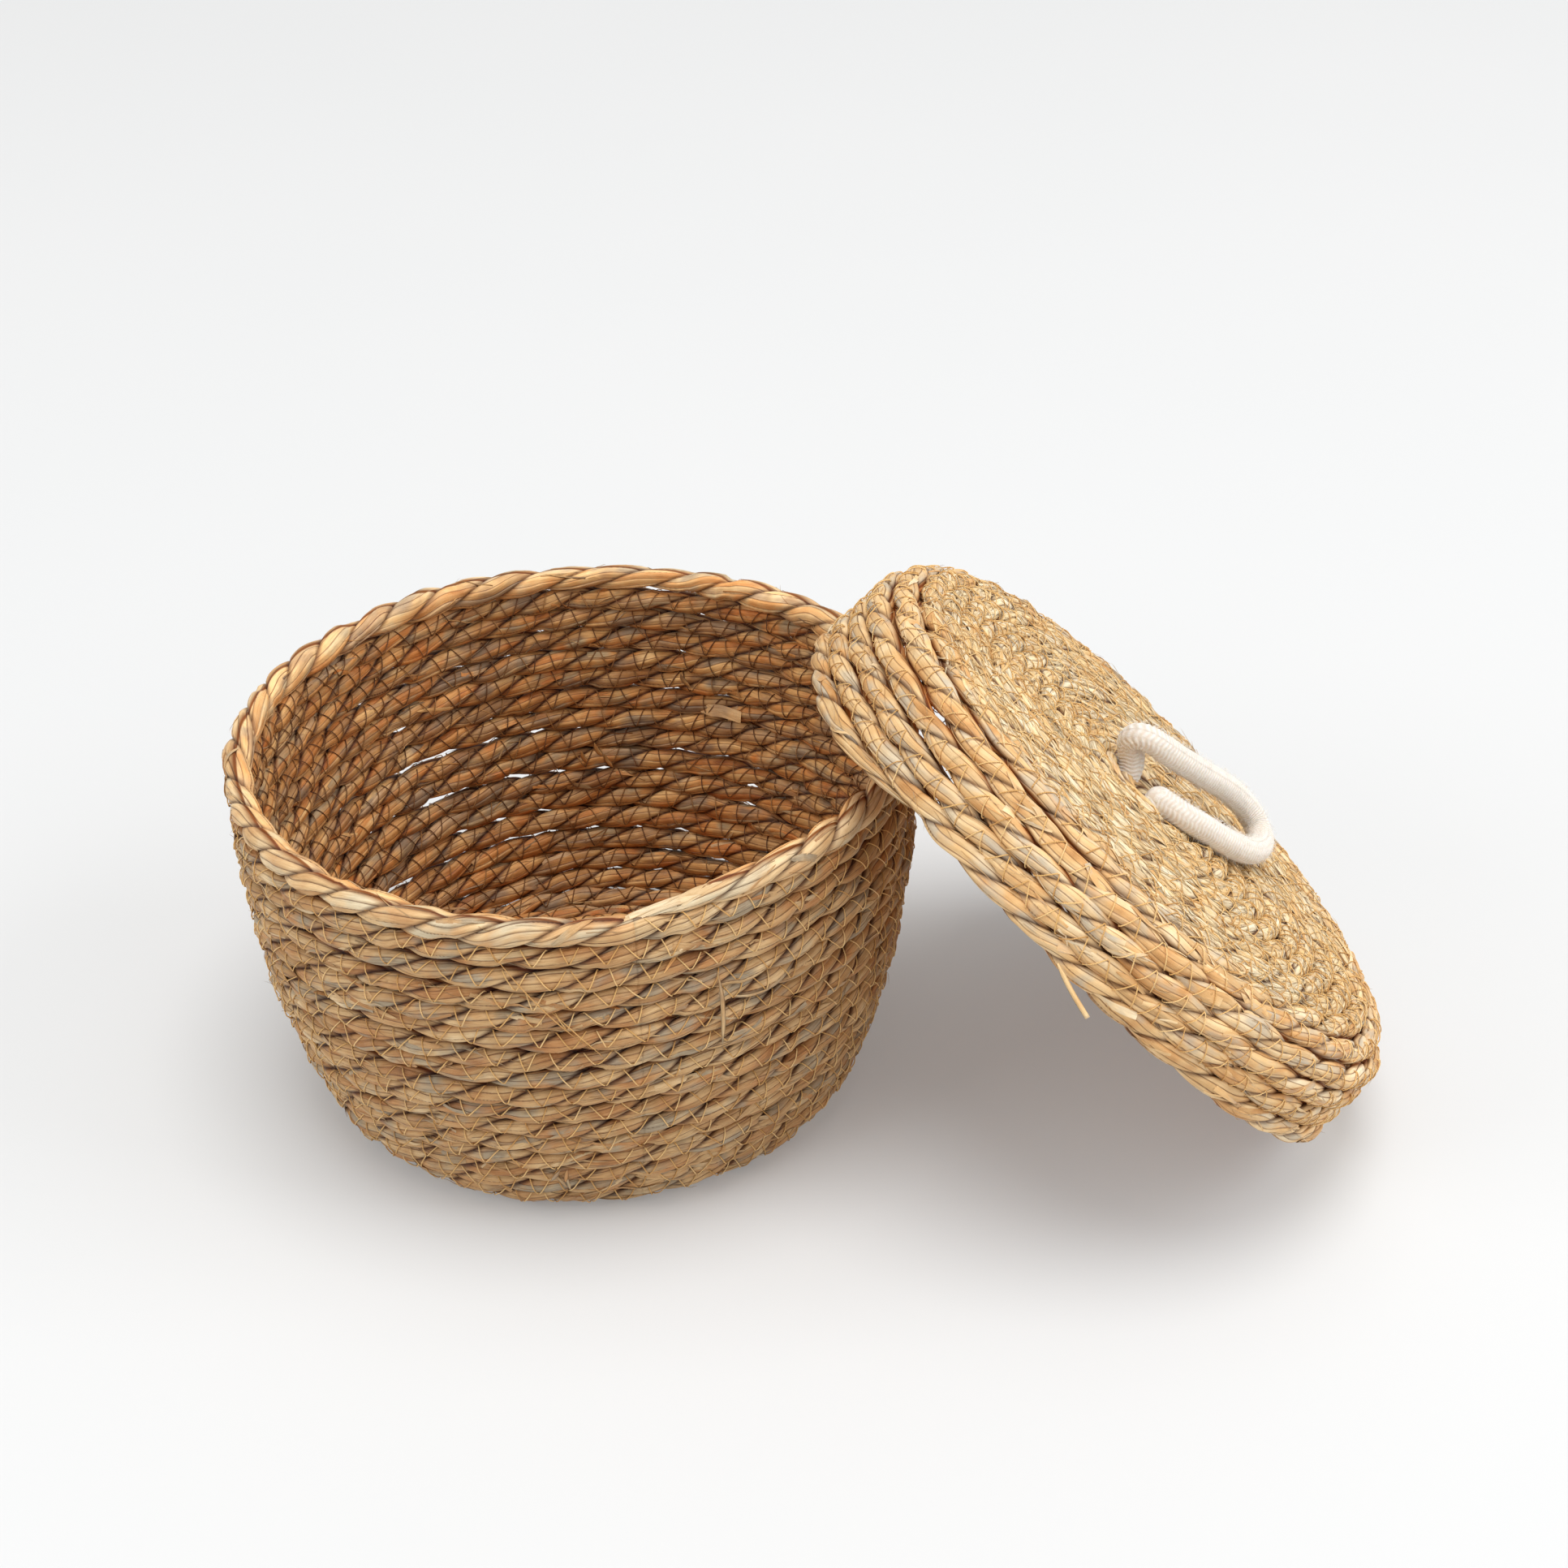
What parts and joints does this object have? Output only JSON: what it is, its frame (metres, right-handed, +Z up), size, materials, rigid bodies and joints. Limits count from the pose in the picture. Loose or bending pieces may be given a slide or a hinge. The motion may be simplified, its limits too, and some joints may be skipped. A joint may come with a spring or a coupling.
{
  "type": "lidded wicker basket",
  "caption": "Round wicker basket of coiled twisted leaf rope, narrowing to its base, with a shallow coiled lid leaning on its rim and a white cord loop as the lid's handle.",
  "frame": {"origin": "on the floor under the middle of the basket's base, at the flat underside of the button that starts its spiral", "axes": "+Z up; +X from the basket towards the leaning lid; -Y towards the viewer"},
  "size_m": [0.3986, 0.2652, 0.1934],
  "materials": {
    "basket_rope": "dried leaf, matte with a faint sheen",
    "rim_rope": "paler dried leaf, matte with a faint sheen",
    "lid_rope": "dried leaf, matte with a faint sheen",
    "cotton_cord": "soft braided cotton"
  },
  "bodies": {
    "basket": {"base_start_button": "basket_rope", "base_turn_01": "basket_rope", "base_turn_02": "basket_rope", "base_turn_03": "basket_rope", "base_turn_04": "basket_rope", "base_turn_05": "basket_rope", "base_turn_06": "basket_rope", "base_turn_07": "basket_rope", "base_turn_08": "basket_rope", "base_turn_09": "basket_rope", "base_turn_10": "basket_rope", "wall_turn_01": "basket_rope", "wall_turn_02": "basket_rope", "wall_turn_03": "basket_rope", "wall_turn_04": "basket_rope", "wall_turn_05": "basket_rope", "wall_turn_06": "basket_rope", "wall_turn_07": "basket_rope", "wall_turn_08": "basket_rope", "wall_turn_09": "basket_rope", "wall_turn_10": "basket_rope", "wall_turn_11": "basket_rope", "wall_turn_12": "basket_rope", "wall_turn_13": "basket_rope", "wall_turn_14": "basket_rope", "wall_turn_15": "basket_rope", "rim_turn": "rim_rope"},
    "lid": {"lid_start_curl": "lid_rope", "lid_top_turn_01": "lid_rope", "lid_top_turn_02": "lid_rope", "lid_top_turn_03": "lid_rope", "lid_top_turn_04": "lid_rope", "lid_top_turn_05": "lid_rope", "lid_top_turn_06": "lid_rope", "lid_top_turn_07": "lid_rope", "lid_top_turn_08": "lid_rope", "lid_top_turn_09": "lid_rope", "lid_top_turn_10": "lid_rope", "lid_top_turn_11": "lid_rope", "lid_skirt_turn_01": "lid_rope", "lid_skirt_turn_02": "lid_rope", "lid_skirt_turn_03": "lid_rope", "lid_skirt_turn_04": "lid_rope", "lid_rim_turn": "lid_rope", "handle_foot_a": "cotton_cord", "handle_foot_b": "cotton_cord", "handle_knot_a": "cotton_cord", "handle_knot_b": "cotton_cord"},
    "handle": {"handle_loop": "cotton_cord"}
  },
  "joints": [
    {"name": "lid_swing", "type": "hinge", "parent": "basket", "child": "lid", "pos_m": [0.10135, 0.03432, 0.13605], "axis": [-0.3532, -0.2335, -0.906], "range_deg": [0, 131.44]},
    {"name": "handle_swing", "type": "hinge", "parent": "lid", "child": "handle", "pos_m": [0.19363, -0.01684, 0.13388], "axis": [0.4799, -0.6878, -0.5446], "range_deg": [0, 60]}
  ]
}
